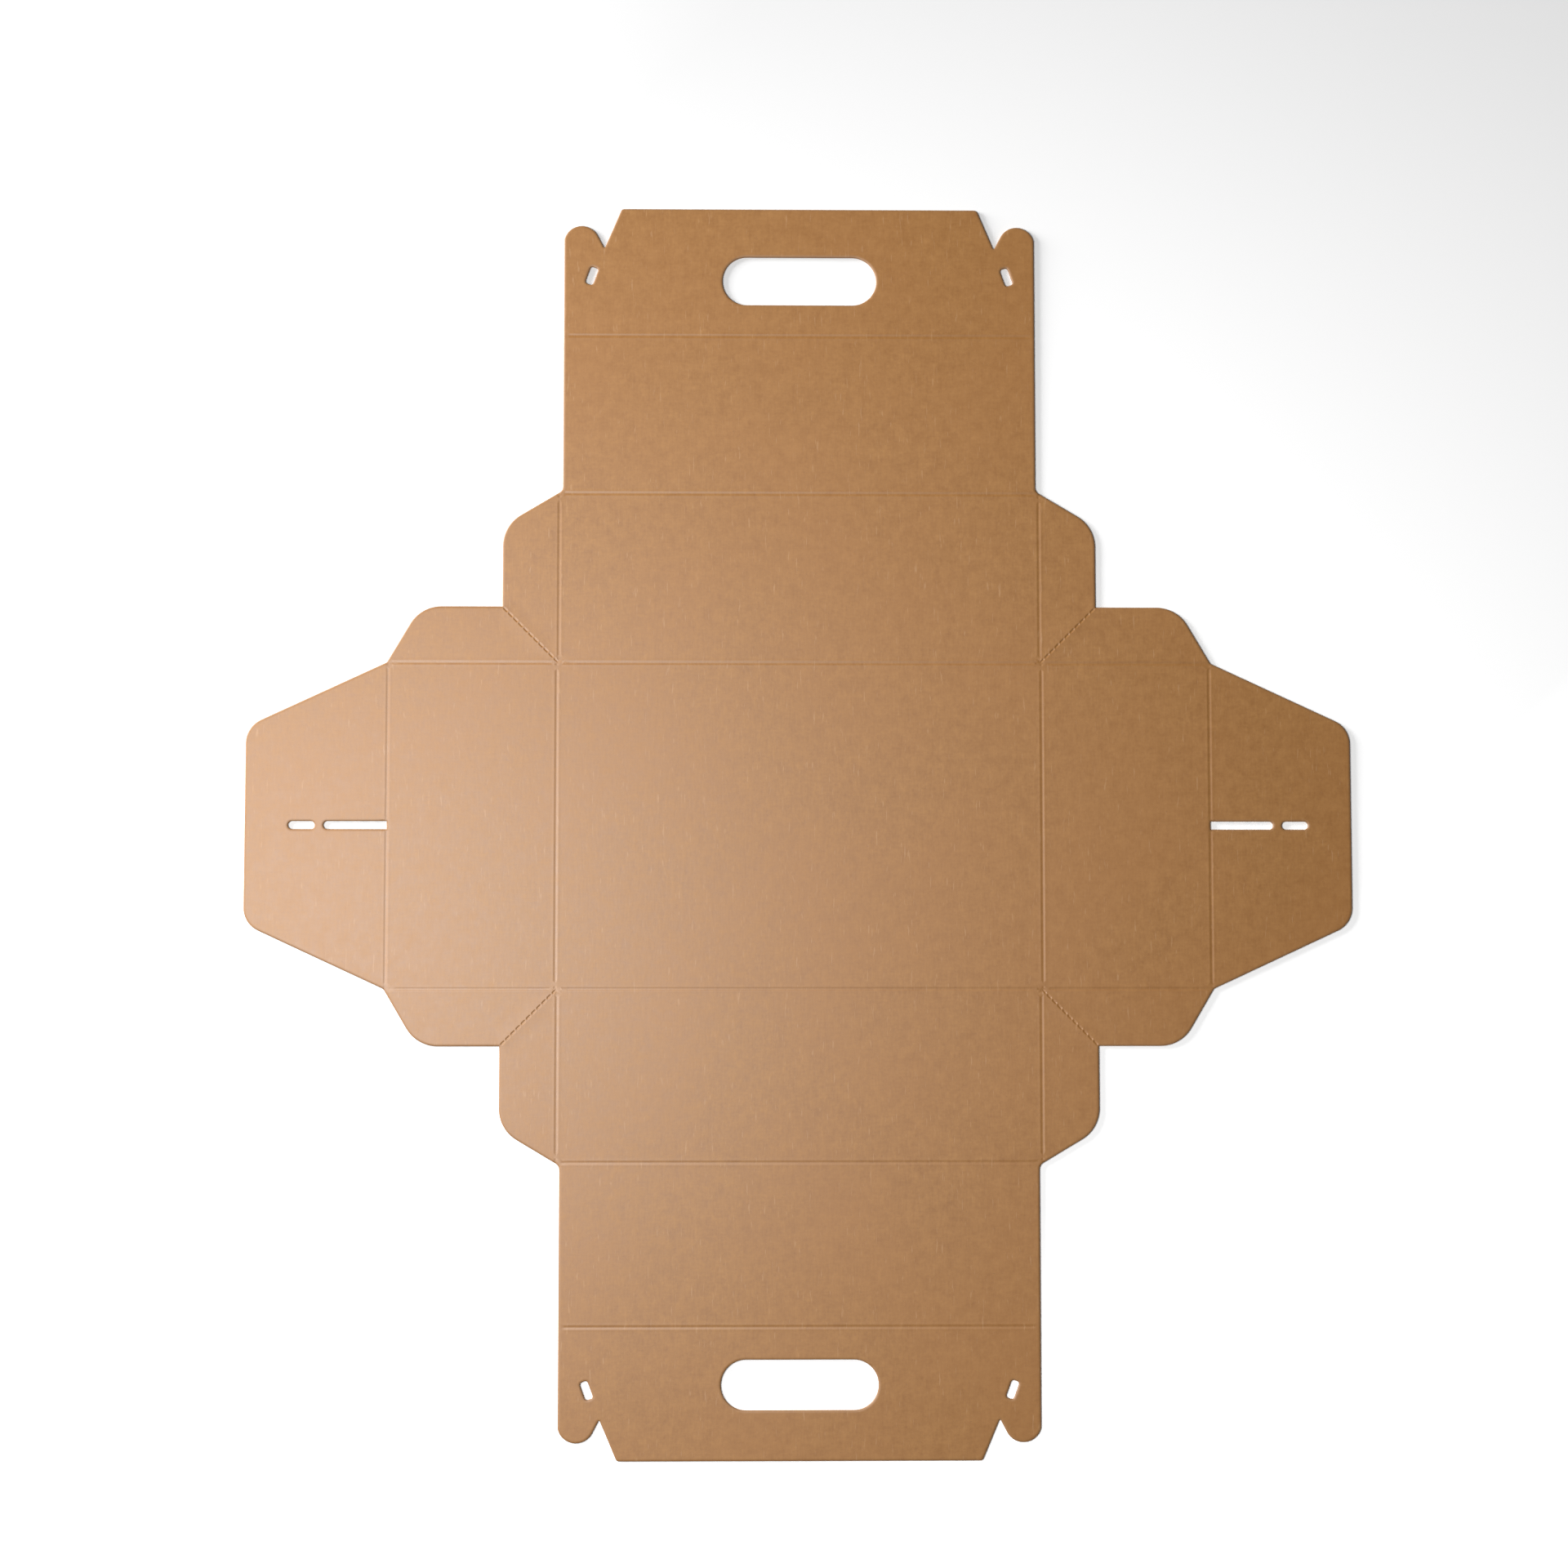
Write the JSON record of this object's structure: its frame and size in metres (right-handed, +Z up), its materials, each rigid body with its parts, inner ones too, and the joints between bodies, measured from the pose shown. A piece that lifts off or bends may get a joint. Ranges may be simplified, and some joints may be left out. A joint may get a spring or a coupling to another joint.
{
  "type": "flattened cardboard box",
  "caption": "Flat die-cut blank of a kraft carry box, creased between its base, walls, roofs, handle panels, end flaps and folding corner webs.",
  "frame": {"origin": "middle of the underside, at the centre of the base panel", "axes": "+Y from one handle panel to the other, +X from one end flap to the other, +Z up out of the creased inner face"},
  "size_m": [0.6142, 0.695, 0.0015],
  "materials": {
    "kraft_board": "uncoated natural brown kraft, matte with a faint sheen"
  },
  "bodies": {
    "root": {"box_blank": "kraft_board"}
  },
  "joints": []
}
